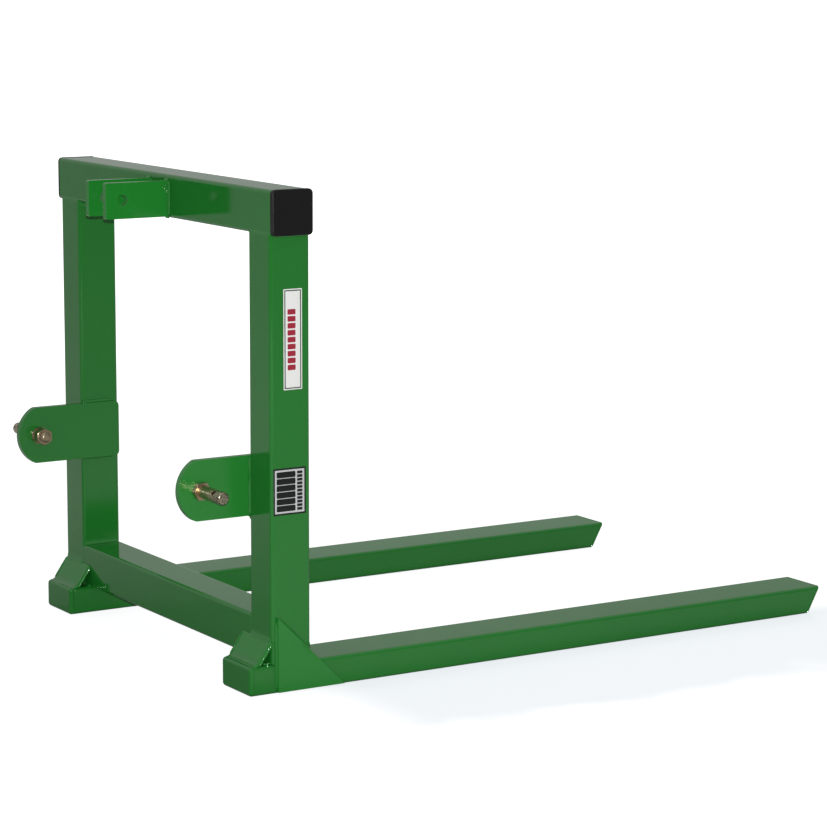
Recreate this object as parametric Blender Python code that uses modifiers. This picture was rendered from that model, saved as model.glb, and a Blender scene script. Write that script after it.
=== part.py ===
"""Pallet fork attachment for a Category 1 three-point hitch.

A square-tube frame stands on two fork tubes. Two lower lugs with bolted pins and a pair of
top-link ears join it to a tractor.

Part frame: +X to the right when looking from the tractor along the forks, +Y along the forks
towards their tips, +Z up. The origin is the centre of the bottom of the bounding box. Lengths
are given in inches and turned into metres as each piece is placed. Along Y they are measured
from the front face of the uprights, and Y_SHIFT moves them to the part frame.
"""

import math

import bmesh
import bpy
from mathutils import Matrix, Vector

INCH = 0.0254
GAP_M = 0.0003
GAP = GAP_M / INCH

# Square tube of the upright frame
FRAME_WIDTH = 32.0
FRAME_HEIGHT = 33.75
TUBE = 3.0
TUBE_WALL = 0.1875
TUBE_CORNER = 0.25
TUBE_BORE_CORNER = 0.08
TOP_TUBE_LEFT = -16.24
TOP_TUBE_RIGHT = 16.03

# Fork tubes, laid flat, outer side in line with the outer side of the uprights
FORK_WIDTH = 4.0
FORK_HEIGHT = 2.0
FORK_REACH = 47.0
FORK_STUB = 1.67
FORK_TIP_SLANT = 1.1
END_PLATE = 0.1875
HEEL_PLATE = 0.3125
HEEL_ROUNDING = 0.22
TIP_ROUNDING = 0.045

# Feet
BRACE_THICKNESS = 0.25
BRACE_TOP = 3.65
BRACE_REACH = 1.13
GUSSET_THICKNESS = 0.25
GUSSET_LEG = 5.15
GUSSET_FRONT = 0.37
GUSSET_BOTTOM = 0.10

# Lower hitch lugs and the pin holes in them
LUG_THICKNESS = 0.5
LUG_HEIGHT = 4.12
LUG_NOSE_RADIUS = 2.32
LUG_NOSE_CENTRE = -2.97
LUG_NOSE_BLEND = 0.6
LUG_REAR = 2.8
LUG_REAR_CORNER = 0.35
LUG_HOLE_RADIUS = 0.39
LOWER_PIN_HEIGHT = 13.73
LOWER_PIN_Y = -3.70

# Top-link ears
EAR_THICKNESS = 0.5
EAR_GAP = 2.2
EAR_HEIGHT = 2.5
EAR_REACH = 4.81
EAR_BOTTOM = 30.84
EAR_CORNER = 0.12
EAR_HOLE_RADIUS = 0.385
EAR_HOLE_Y = -3.56
EAR_HOLE_HEIGHT = 32.12

# Lower pin, along its own axis from the lug's outer face outwards
PIN_RADIUS = 0.4375
PIN_STUD_RADIUS = 0.375
PIN_STUD_LENGTH = 1.82
PIN_SHOULDER = 0.4375
PIN_SHOULDER_ACROSS_FLATS = 1.125
PIN_LENGTH = 3.35
PIN_END_ROUNDING = 0.17
PIN_CROSS_HOLE_RADIUS = 0.2
PIN_CROSS_HOLE_AT = 2.45
PIN_CROSS_HOLE_TILT = math.radians(45.0)
WASHER_THICKNESS = 0.19
WASHER_RADIUS = 0.635
WASHER_SPLIT = 0.08
NUT_THICKNESS = 0.80
NUT_ACROSS_FLATS = 1.125
NUT_CHAMFER = 0.07
NUT_TURN = math.radians(30.0)

# Plastic plugs in the ends of the top tube, each flange reaching from the tube's end to CAP_FACE
CAP_FACE = 16.4375
CAP_SIZE = 3.06
CAP_CORNER = 0.30
CAP_ROUNDING = 0.09
CAP_LEG = 0.9
CAP_LEG_WALL = 0.12

# Labels on the outer face of the right upright: centre height, centre Y, width, height
LABEL_THICKNESS = 0.012
LABEL_CORNER = 0.05
UPPER_LABEL = (23.85, 1.68, 1.40, 6.70)
LOWER_LABEL = (13.70, 1.40, 2.46, 3.15)

OVERCUT = 0.5
ARC_STEPS = 24
CORNER_STEPS = 4
TURN_STEPS = 40
X, Y, Z = 0, 1, 2

# Middle of the part along Y, between the lug noses and the fork tips
Y_SHIFT = (FORK_REACH + LUG_NOSE_CENTRE - LUG_NOSE_RADIUS) / 2

GREEN_PAINT = ("green_paint", (0.022, 0.165, 0.030), 0.28, 0.0)
BLACK_PLASTIC = ("black_plastic", (0.012, 0.011, 0.010), 0.45, 0.0)
YELLOW_ZINC = ("yellow_zinc", (0.46, 0.36, 0.22), 0.30, 1.0)
WHITE_VINYL = ("white_vinyl", (0.80, 0.80, 0.78), 0.35, 0.0)
GREY_VINYL = ("grey_vinyl", (0.55, 0.57, 0.58), 0.35, 0.0)


def clear_scene():
    for obj in list(bpy.data.objects):
        bpy.data.objects.remove(obj, do_unlink=True)


def new_collection(name):
    collection = bpy.data.collections.new(name)
    bpy.context.scene.collection.children.link(collection)
    return collection


def material(look):
    name, colour, roughness, metallic = look
    found = bpy.data.materials.get(name)
    if found:
        return found
    made = bpy.data.materials.new(name)
    made.use_nodes = True
    shader = made.node_tree.nodes["Principled BSDF"]
    shader.inputs["Base Color"].default_value = (*colour, 1.0)
    shader.inputs["Roughness"].default_value = roughness
    shader.inputs["Metallic"].default_value = metallic
    return made


def world(x, y, z):
    """A point of the part in metres, from inches with y counted from the uprights' front face."""
    return Vector((x, y - Y_SHIFT, z)) * INCH


def place(name, data, location, look, rotation=(0.0, 0.0, 0.0), parent=None):
    obj = bpy.data.objects.new(name, data)
    obj.location = location
    obj.rotation_euler = rotation
    obj.parent = parent
    data.materials.append(material(look))
    PARTS.objects.link(obj)
    return obj


def cutter(name, data, location, rotation=(0.0, 0.0, 0.0), parent=None):
    obj = bpy.data.objects.new(name, data)
    obj.location = location
    obj.rotation_euler = rotation
    obj.parent = parent
    obj.hide_render = True
    obj.display_type = "WIRE"
    CUTTERS.objects.link(obj)
    return obj


def boolean(obj, other, operation):
    modifier = obj.modifiers.new(other.name, "BOOLEAN")
    modifier.operation = operation
    modifier.object = other
    modifier.solver = "EXACT"


def bevel(obj, width, segments, angle=60.0):
    modifier = obj.modifiers.new("edges", "BEVEL")
    modifier.width = width * INCH
    modifier.segments = segments
    modifier.limit_method = "ANGLE"
    modifier.angle_limit = math.radians(angle)


def smooth(mesh):
    mesh.shade_smooth()
    mesh.set_sharp_from_angle(angle=math.radians(35.0))
    return mesh


def bar_mesh(name, size, along=None, corner=0.0):
    """A box, with its four edges along one axis rounded where a corner radius is given."""
    mesh = bpy.data.meshes.new(name)
    shape = bmesh.new()
    scale = Matrix.Diagonal((*(Vector(size) * INCH), 1.0))
    bmesh.ops.create_cube(shape, size=1.0, matrix=scale)
    if corner:
        edges = []
        for edge in shape.edges:
            run = (edge.verts[1].co - edge.verts[0].co).normalized()
            if abs(run[along]) > 0.99:
                edges.append(edge)
        bmesh.ops.bevel(
            shape,
            geom=edges,
            offset=corner * INCH,
            offset_type="OFFSET",
            segments=CORNER_STEPS,
            profile=0.5,
            affect="EDGES",
        )
    shape.to_mesh(mesh)
    shape.free()
    return smooth(mesh)


def round_front(mesh, width):
    """Rounds the edges around the face of a bar that looks along -Y."""
    shape = bmesh.new()
    shape.from_mesh(mesh)
    front = min(vert.co.y for vert in shape.verts)
    edges = []
    for edge in shape.edges:
        if all(vert.co.y < front + GAP_M for vert in edge.verts):
            edges.append(edge)
    bmesh.ops.bevel(
        shape,
        geom=edges,
        offset=width * INCH,
        offset_type="OFFSET",
        segments=CORNER_STEPS - 1,
        profile=0.5,
        affect="EDGES",
    )
    shape.to_mesh(mesh)
    shape.free()
    return smooth(mesh)


def prism_mesh(name, sides, radius, length):
    """A prism or cylinder centred on its own origin, its axis along Z."""
    mesh = bpy.data.meshes.new(name)
    shape = bmesh.new()
    bmesh.ops.create_cone(
        shape,
        cap_ends=True,
        segments=sides,
        radius1=radius * INCH,
        radius2=radius * INCH,
        depth=length * INCH,
    )
    shape.to_mesh(mesh)
    shape.free()
    return smooth(mesh)


def turned_mesh(name, profile):
    """The profile of a turned piece, as (radius, height) pairs from the top down."""
    mesh = bpy.data.meshes.new(name)
    points = [(radius * INCH, 0.0, height * INCH) for radius, height in profile]
    edges = [(i, i + 1) for i in range(len(points) - 1)]
    mesh.from_pydata(points, edges, [])
    return mesh


def screw(obj):
    modifier = obj.modifiers.new("turn", "SCREW")
    modifier.axis = "Z"
    modifier.steps = TURN_STEPS
    modifier.render_steps = TURN_STEPS
    modifier.use_merge_vertices = True
    modifier.merge_threshold = 0.00001
    modifier.use_smooth_shade = True


def hollow_tube(name, size, along, centre, look):
    """A rectangular tube, open at both ends."""
    tube = place(name, bar_mesh(name, size, along, TUBE_CORNER), centre, look)
    bore = [side - 2 * TUBE_WALL for side in size]
    bore[along] = size[along] + 2 * OVERCUT
    inside = bar_mesh(name + "_bore", bore, along, TUBE_BORE_CORNER)
    boolean(tube, cutter(name + "_bore", inside, centre), "DIFFERENCE")
    return tube


def arc(centre_y, centre_z, radius, start, end, steps):
    """Points on an arc in the YZ plane, angles in degrees from +Y towards +Z."""
    found = []
    for i in range(steps + 1):
        angle = math.radians(start + (end - start) * i / steps)
        found.append(
            (centre_y + radius * math.cos(angle), centre_z + radius * math.sin(angle))
        )
    return found


def plate(name, outline, holes, thickness, x, y, z, look):
    """A flat plate in the YZ plane: outline and holes are (y, z) points about (y, z)."""
    curve = bpy.data.curves.new(name, "CURVE")
    curve.dimensions = "2D"
    curve.fill_mode = "BOTH"
    curve.extrude = thickness * INCH / 2
    for loop in [outline, *holes]:
        spline = curve.splines.new("POLY")
        spline.points.add(len(loop) - 1)
        for point, (along, up) in zip(spline.points, loop):
            point.co = (along * INCH, up * INCH, 0.0, 1.0)
        spline.use_cyclic_u = True
    quarter = math.pi / 2
    flat = place(name, curve, world(x, y, z), look, (quarter, 0.0, quarter))
    weld = flat.modifiers.new("weld", "WELD")
    weld.merge_threshold = 0.00001
    return flat


def build_frame():
    upright_x = (FRAME_WIDTH - TUBE) / 2
    upright_top = FRAME_HEIGHT - TUBE - GAP
    upright_bottom = FORK_HEIGHT + GAP
    upright_size = (TUBE, TUBE, upright_top - upright_bottom)
    middle = (upright_top + upright_bottom) / 2
    for side, name in SIDES:
        centre = world(side * upright_x, TUBE / 2, middle)
        hollow_tube(name + "_upright", upright_size, Z, centre, GREEN_PAINT)
    top_length = TOP_TUBE_RIGHT - TOP_TUBE_LEFT
    top_middle = (TOP_TUBE_RIGHT + TOP_TUBE_LEFT) / 2
    top = world(top_middle, TUBE / 2, FRAME_HEIGHT - TUBE / 2)
    hollow_tube("top_cross_tube", (top_length, TUBE, TUBE), X, top, GREEN_PAINT)
    span = FRAME_WIDTH - 2 * TUBE - 2 * GAP
    bottom = world(0.0, TUBE / 2, FORK_HEIGHT + GAP + TUBE / 2)
    hollow_tube("bottom_cross_tube", (span, TUBE, TUBE), X, bottom, GREEN_PAINT)


def build_forks():
    """Each fork tube, the plate on its front end and the plate on its slanted tip."""
    front = -FORK_STUB + HEEL_PLATE + GAP
    length = FORK_REACH + OVERCUT - front
    slant = math.atan2(FORK_TIP_SLANT, FORK_HEIGHT)
    outward = Vector((0.0, math.cos(slant), -math.sin(slant)))
    tip_face = Vector((0.0, FORK_REACH - FORK_TIP_SLANT / 2, FORK_HEIGHT / 2))
    for side, name in SIDES:
        x = side * (FRAME_WIDTH - FORK_WIDTH) / 2
        tip = tip_face + Vector((x, 0.0, 0.0))
        tilt = (-slant, 0.0, 0.0)

        centre = world(x, front + length / 2, FORK_HEIGHT / 2)
        size = (FORK_WIDTH, length, FORK_HEIGHT)
        fork = hollow_tube(name + "_fork_tube", size, Y, centre, GREEN_PAINT)
        block = 2 * FORK_WIDTH
        past_tip = tip + outward * (block / 2 - END_PLATE - GAP)
        end_cut = bar_mesh(name + "_tip_cut", (block, block, block))
        boolean(fork, cutter(name + "_tip_cut", end_cut, world(*past_tip), tilt), "DIFFERENCE")

        section = bar_mesh(name + "_fork_tip_plate", size, Y, TUBE_CORNER)
        tip_plate = place(name + "_fork_tip_plate", section, centre, GREEN_PAINT)
        slab_centre = tip - outward * (END_PLATE / 2)
        slab = bar_mesh(name + "_tip_slab", (block, END_PLATE, block))
        slab_tool = cutter(name + "_tip_slab", slab, world(*slab_centre), tilt)
        boolean(tip_plate, slab_tool, "INTERSECT")
        bevel(tip_plate, TIP_ROUNDING, 2, 50.0)

        heel_size = (FORK_WIDTH, HEEL_PLATE, FORK_HEIGHT)
        heel_mesh = bar_mesh(name + "_fork_heel_plate", heel_size, Y, TUBE_CORNER)
        round_front(heel_mesh, HEEL_ROUNDING)
        heel_centre = world(x, -FORK_STUB + HEEL_PLATE / 2, FORK_HEIGHT / 2)
        place(name + "_fork_heel_plate", heel_mesh, heel_centre, GREEN_PAINT)


def build_feet():
    """The inclined plate over each fork stub and the triangular plate beside each foot."""
    lift = FORK_HEIGHT + GAP
    rise = BRACE_TOP - lift
    slope = math.atan2(rise, BRACE_REACH)
    brace = [
        (-GAP, BRACE_TOP),
        (-BRACE_REACH, lift),
        (-BRACE_REACH + BRACE_THICKNESS / math.sin(slope), lift),
        (-GAP, BRACE_TOP - BRACE_THICKNESS / math.cos(slope)),
    ]
    gusset = [
        (GUSSET_FRONT, GUSSET_BOTTOM),
        (GUSSET_FRONT + GUSSET_LEG, GUSSET_BOTTOM),
        (GUSSET_FRONT, GUSSET_BOTTOM + GUSSET_LEG),
    ]
    gusset_x = FRAME_WIDTH / 2 + GAP + GUSSET_THICKNESS / 2
    brace_x = (FRAME_WIDTH - FORK_WIDTH) / 2
    for side, name in SIDES:
        plate(name + "_front_brace", brace, [], FORK_WIDTH, side * brace_x, 0.0, 0.0, GREEN_PAINT)
        plate(
            name + "_side_gusset", gusset, [], GUSSET_THICKNESS, side * gusset_x, 0.0, 0.0, GREEN_PAINT
        )


def lug_outline():
    """Straight top and bottom, an arc-shaped nose blended into both, small rear corners."""
    half = LUG_HEIGHT / 2
    blend_z = half - LUG_NOSE_BLEND
    blend_reach = math.sqrt((LUG_NOSE_RADIUS - LUG_NOSE_BLEND) ** 2 - blend_z**2)
    blend_y = LUG_NOSE_CENTRE - blend_reach
    sweep = math.degrees(math.atan2(blend_z, blend_reach))
    corner_y = LUG_REAR - LUG_REAR_CORNER
    corner_z = half - LUG_REAR_CORNER
    nose = arc(LUG_NOSE_CENTRE, 0.0, LUG_NOSE_RADIUS, 180.0 - sweep, 180.0 + sweep, ARC_STEPS)
    lower = arc(blend_y, -blend_z, LUG_NOSE_BLEND, 180.0 + sweep, 270.0, CORNER_STEPS)
    upper = arc(blend_y, blend_z, LUG_NOSE_BLEND, 90.0, 180.0 - sweep, CORNER_STEPS)
    rear_lower = arc(corner_y, -corner_z, LUG_REAR_CORNER, -90.0, 0.0, CORNER_STEPS)
    rear_upper = arc(corner_y, corner_z, LUG_REAR_CORNER, 0.0, 90.0, CORNER_STEPS)
    return nose + lower[1:] + rear_lower + rear_upper + upper[:-1]


def build_lugs():
    outline = lug_outline()
    hole = arc(LOWER_PIN_Y, 0.0, LUG_HOLE_RADIUS, 0.0, 360.0, ARC_STEPS)[:-1]
    x = FRAME_WIDTH / 2 - TUBE - GAP - LUG_THICKNESS / 2
    for side, name in SIDES:
        plate(
            name + "_lower_lug",
            outline,
            [hole],
            LUG_THICKNESS,
            side * x,
            0.0,
            LOWER_PIN_HEIGHT,
            GREEN_PAINT,
        )


def build_ears():
    top = EAR_BOTTOM + EAR_HEIGHT
    corner_y = -EAR_REACH + EAR_CORNER
    outline = [(-GAP, EAR_BOTTOM), (-GAP, top)]
    outline += arc(corner_y, top - EAR_CORNER, EAR_CORNER, 90.0, 180.0, CORNER_STEPS)
    outline += arc(corner_y, EAR_BOTTOM + EAR_CORNER, EAR_CORNER, 180.0, 270.0, CORNER_STEPS)
    hole = arc(EAR_HOLE_Y, EAR_HOLE_HEIGHT, EAR_HOLE_RADIUS, 0.0, 360.0, ARC_STEPS)[:-1]
    x = (EAR_GAP + EAR_THICKNESS) / 2
    for side, name in SIDES:
        plate(name + "_top_link_ear", outline, [hole], EAR_THICKNESS, side * x, 0.0, 0.0, GREEN_PAINT)


def build_caps():
    """A plug in each end of the top tube: a flange that covers the end and a hollow leg inside."""
    inside = TUBE - 2 * TUBE_WALL - 2 * GAP
    well = inside - 2 * CAP_LEG_WALL
    z = FRAME_HEIGHT - TUBE / 2
    for side, name in SIDES:
        flange_back = (TOP_TUBE_RIGHT if side > 0 else -TOP_TUBE_LEFT) + GAP
        flange = CAP_FACE - flange_back
        flange_size = (flange, CAP_SIZE, CAP_SIZE)
        flange_mesh = bar_mesh(name + "_tube_cap", flange_size, X, CAP_CORNER)
        flange_x = CAP_FACE - flange / 2
        cap = place(
            name + "_tube_cap", flange_mesh, world(side * flange_x, TUBE / 2, z), BLACK_PLASTIC
        )
        bevel(cap, CAP_ROUNDING, 3)

        leg_size = (CAP_LEG + flange / 2, inside, inside)
        leg_mesh = bar_mesh(name + "_cap_leg", leg_size, X, TUBE_BORE_CORNER)
        leg_x = flange_back + flange / 2 - leg_size[X] / 2
        leg_centre = world(side * leg_x, TUBE / 2, z)
        boolean(cap, cutter(name + "_cap_leg", leg_mesh, leg_centre), "UNION")

        well_size = (CAP_LEG + OVERCUT, well, well)
        well_mesh = bar_mesh(name + "_cap_well", well_size, X, TUBE_BORE_CORNER)
        well_x = flange_back - CAP_LEG_WALL - well_size[X] / 2
        well_centre = world(side * well_x, TUBE / 2, z)
        boolean(cap, cutter(name + "_cap_well", well_mesh, well_centre), "DIFFERENCE")


def pin_profile():
    """Stud, shank and rounded end, from the free end down to the end of the stud."""
    profile = [(0.0, PIN_LENGTH)]
    for i in range(CORNER_STEPS + 1):
        angle = math.pi / 2 * (1 - i / CORNER_STEPS)
        radius = PIN_RADIUS - PIN_END_ROUNDING * (1 - math.cos(angle))
        height = PIN_LENGTH - PIN_END_ROUNDING * (1 - math.sin(angle))
        profile.append((radius, height))
    profile.append((PIN_RADIUS, PIN_SHOULDER / 2))
    profile.append((PIN_STUD_RADIUS, PIN_SHOULDER / 2))
    for i in range(CORNER_STEPS + 1):
        angle = math.pi / 2 * i / CORNER_STEPS
        dome = PIN_END_ROUNDING
        radius = PIN_STUD_RADIUS - dome * (1 - math.cos(angle))
        height = -PIN_STUD_LENGTH + dome * (1 - math.sin(angle))
        profile.append((radius, height))
    profile.append((0.0, -PIN_STUD_LENGTH))
    return profile


def hex_radius(across_flats):
    return across_flats / 2 / math.cos(math.pi / 6)


def build_pins():
    """Pin, split washer and nut on each lug, all on an empty whose Z axis points outwards."""
    lug_face = FRAME_WIDTH / 2 - TUBE - GAP
    washer_top = -LUG_THICKNESS - GAP
    nut_top = washer_top - WASHER_THICKNESS - GAP
    clear = PIN_STUD_RADIUS + GAP
    for side, name in SIDES:
        station = bpy.data.objects.new(name + "_pin_station", None)
        station.location = world(side * lug_face, LOWER_PIN_Y, LOWER_PIN_HEIGHT)
        station.rotation_euler = (0.0, side * math.pi / 2, 0.0)
        PARTS.objects.link(station)

        pin_mesh = turned_mesh(name + "_lower_pin", pin_profile())
        pin = place(name + "_lower_pin", pin_mesh, (0.0, 0.0, 0.0), YELLOW_ZINC, parent=station)
        screw(pin)
        shoulder_radius = hex_radius(PIN_SHOULDER_ACROSS_FLATS)
        shoulder_length = PIN_SHOULDER - GAP
        hexagon = prism_mesh(name + "_pin_shoulder", 6, shoulder_radius, shoulder_length)
        shoulder_at = (0.0, 0.0, (PIN_SHOULDER + GAP) / 2 * INCH)
        boolean(
            pin, cutter(name + "_pin_shoulder", hexagon, shoulder_at, parent=station), "UNION"
        )
        drill = prism_mesh(
            name + "_pin_cross_hole", ARC_STEPS, PIN_CROSS_HOLE_RADIUS, 4 * PIN_RADIUS
        )
        drill_turn = (0.0, math.pi / 2, side * PIN_CROSS_HOLE_TILT)
        drill_at = (0.0, 0.0, PIN_CROSS_HOLE_AT * INCH)
        boolean(
            pin,
            cutter(name + "_pin_cross_hole", drill, drill_at, drill_turn, station),
            "DIFFERENCE",
        )

        washer_profile = [
            (clear, washer_top),
            (WASHER_RADIUS, washer_top),
            (WASHER_RADIUS, washer_top - WASHER_THICKNESS),
            (clear, washer_top - WASHER_THICKNESS),
            (clear, washer_top),
        ]
        washer_mesh = turned_mesh(name + "_lock_washer", washer_profile)
        washer = place(
            name + "_lock_washer", washer_mesh, (0.0, 0.0, 0.0), YELLOW_ZINC, parent=station
        )
        screw(washer)
        split = bar_mesh(name + "_washer_split", (WASHER_RADIUS * 2, WASHER_SPLIT, 1.0))
        split_at = (WASHER_RADIUS * INCH, 0.0, (washer_top - WASHER_THICKNESS / 2) * INCH)
        boolean(washer, cutter(name + "_washer_split", split, split_at, parent=station), "DIFFERENCE")

        nut_radius = hex_radius(NUT_ACROSS_FLATS)
        nut_mesh = prism_mesh(name + "_pin_nut", 6, nut_radius, NUT_THICKNESS)
        nut_at = (0.0, 0.0, (nut_top - NUT_THICKNESS / 2) * INCH)
        nut = place(
            name + "_pin_nut", nut_mesh, nut_at, YELLOW_ZINC, (0.0, 0.0, NUT_TURN), station
        )
        crown = [
            (0.0, nut_top),
            (nut_radius - NUT_CHAMFER * 2, nut_top),
            (nut_radius + GAP, nut_top - NUT_CHAMFER),
            (nut_radius + GAP, nut_top - NUT_THICKNESS + NUT_CHAMFER),
            (nut_radius - NUT_CHAMFER * 2, nut_top - NUT_THICKNESS),
            (0.0, nut_top - NUT_THICKNESS),
        ]
        crown_mesh = turned_mesh(name + "_nut_crown", crown)
        crown_tool = cutter(name + "_nut_crown", crown_mesh, (0.0, 0.0, 0.0), parent=station)
        screw(crown_tool)
        boolean(nut, crown_tool, "INTERSECT")
        thread = prism_mesh(name + "_nut_bore", ARC_STEPS, clear, 2 * NUT_THICKNESS)
        boolean(nut, cutter(name + "_nut_bore", thread, nut_at, parent=station), "DIFFERENCE")


def build_labels():
    x = FRAME_WIDTH / 2 + GAP + LABEL_THICKNESS / 2
    labels = (
        ("upper_label", UPPER_LABEL, WHITE_VINYL),
        ("lower_label", LOWER_LABEL, GREY_VINYL),
    )
    for name, (height, y, wide, tall), look in labels:
        mesh = bar_mesh(name, (LABEL_THICKNESS, wide, tall), X, LABEL_CORNER)
        place(name, mesh, world(x, y, height), look)


clear_scene()
PARTS = new_collection("pallet_fork")
CUTTERS = new_collection("cutters")
SIDES = ((1, "right"), (-1, "left"))

build_frame()
build_forks()
build_feet()
build_lugs()
build_ears()
build_caps()
build_pins()
build_labels()
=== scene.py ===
"""Looks, stage, lights and camera for the pallet fork attachment.

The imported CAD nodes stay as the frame. They get rounded edges and painted, plated, moulded or
film finishes. Weld beads, spatter, screw threads and label prints are added as their own
pieces. Lengths are in metres in the part frame: +X right, +Y along the forks, +Z up.
"""

import math
import random

import bmesh
import bpy
from mathutils import Matrix, Vector, noise


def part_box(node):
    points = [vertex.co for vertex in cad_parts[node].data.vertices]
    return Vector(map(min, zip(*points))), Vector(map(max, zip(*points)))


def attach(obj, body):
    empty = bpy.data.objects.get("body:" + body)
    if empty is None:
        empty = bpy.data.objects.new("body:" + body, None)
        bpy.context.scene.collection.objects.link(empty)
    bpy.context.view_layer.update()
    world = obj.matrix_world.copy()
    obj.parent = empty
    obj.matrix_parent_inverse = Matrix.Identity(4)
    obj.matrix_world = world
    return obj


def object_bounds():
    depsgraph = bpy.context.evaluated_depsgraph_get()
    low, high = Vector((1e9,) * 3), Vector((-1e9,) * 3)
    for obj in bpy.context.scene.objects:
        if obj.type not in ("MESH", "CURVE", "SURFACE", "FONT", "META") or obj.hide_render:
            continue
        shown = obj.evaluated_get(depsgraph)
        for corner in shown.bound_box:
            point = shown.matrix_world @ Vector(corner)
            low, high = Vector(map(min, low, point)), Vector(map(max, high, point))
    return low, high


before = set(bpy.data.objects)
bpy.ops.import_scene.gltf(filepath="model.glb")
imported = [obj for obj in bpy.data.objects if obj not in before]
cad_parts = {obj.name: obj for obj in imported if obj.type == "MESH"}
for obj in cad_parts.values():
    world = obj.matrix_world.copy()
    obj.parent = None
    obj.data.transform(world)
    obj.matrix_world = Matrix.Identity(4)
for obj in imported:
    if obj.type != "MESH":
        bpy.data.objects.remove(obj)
CAD_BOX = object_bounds()

MM = 0.001
INCH = 0.0254
X_AXIS = Vector((1.0, 0.0, 0.0))
Y_AXIS = Vector((0.0, 1.0, 0.0))
Z_AXIS = Vector((0.0, 0.0, 1.0))
SIDES = ((1, "right"), (-1, "left"))

# Boxes of the right-hand pieces, which the left ones mirror, and of the bottom cross tube
UPRIGHT_LOW, UPRIGHT_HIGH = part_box("right_upright")
CROSS_LOW, CROSS_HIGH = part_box("bottom_cross_tube")
FORK_LOW, FORK_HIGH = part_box("right_fork_tube")
BRACE_LOW, BRACE_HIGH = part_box("right_front_brace")
GUSSET_LOW, GUSSET_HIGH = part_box("right_side_gusset")
LUG_LOW, LUG_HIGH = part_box("right_lower_lug")
EAR_LOW, EAR_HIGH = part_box("right_top_link_ear")
PIN_LOW, PIN_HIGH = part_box("right_lower_pin")
NUT_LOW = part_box("right_pin_nut")[0]

FRONT, REAR = UPRIGHT_LOW.y, UPRIGHT_HIGH.y
INNER, OUTER = UPRIGHT_LOW.x, UPRIGHT_HIGH.x

# Outer corner radius of the tubes
CORNER = 0.25 * INCH

# The hole in the ears and the scuffed ring around it
EAR_HOLE_Y = EAR_LOW.y + 1.25 * INCH
EAR_HOLE_Z = EAR_LOW.z + 1.28 * INCH
SCUFFED_RADIUS = 0.40 * INCH

# Camera: the direction and distance from which it looks, and the point it looks at
VIEW_AZIMUTH = math.radians(58.2403)
VIEW_ELEVATION = math.radians(9.2592)
VIEW_ROLL = math.radians(0.1701)
VIEW_DISTANCE = 4.8796
VIEW_TARGET = Vector((0.5318, -0.3265, 0.4842))
LENS_MM = 127.09
SENSOR_MM = 36.0

# Lamps: a small flash just above the lens and a softbox behind the object
FLASH_ABOVE_LENS = 0.085
FLASH_SIZE = 0.04
FLASH_WATTS = 170.0
SOFTBOX_AT = Vector((-2.6, 3.0, 2.6))
SOFTBOX_SIZE = 2.0
SOFTBOX_WATTS = 60.0

# The room: an even light, a brighter side and a brighter ceiling
ROOM_LIGHT = 0.19
BRIGHT_SIDE = (-0.97, -0.24, 0.0)
BRIGHT_SIDE_LIGHT = 0.33
BRIGHT_SIDE_FOCUS = 4.0
CEILING_LIGHT = 0.40
CEILING_FROM, CEILING_TO = 0.25, 0.95
BACKDROP_LIGHT = 1.1
WHITE = (1.0, 1.0, 1.0, 1.0)

# The floor as the camera sees it: a constant part, a part that takes shadows and a cool painted
# shadow
FLOOR_RADIUS = 14.0
FLOOR_DROP = 0.2 * MM
FLOOR_LIFT = (0.87, 0.88, 0.90, 1.0)
FLOOR_SHADE = (0.29, 0.275, 0.25, 1.0)
FLOOR_PAINTED_SHADOW = (0.817, 0.850, 0.872, 1.0)
FAR_GLOW = 0.35

# The floor as the object sees it, with painted light and painted shade in its colour
FLOOR_LOW, FLOOR_HIGH = (0.72, 0.72, 0.72, 1.0), (0.77, 0.77, 0.77, 1.0)
FLOOR_PAINTED_SHADE = (0.45, 0.45, 0.45, 1.0)
PAINTED_LIGHT_BESIDE_FORKS = 0.45


# ---------------------------------------------------------------- node helpers


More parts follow.
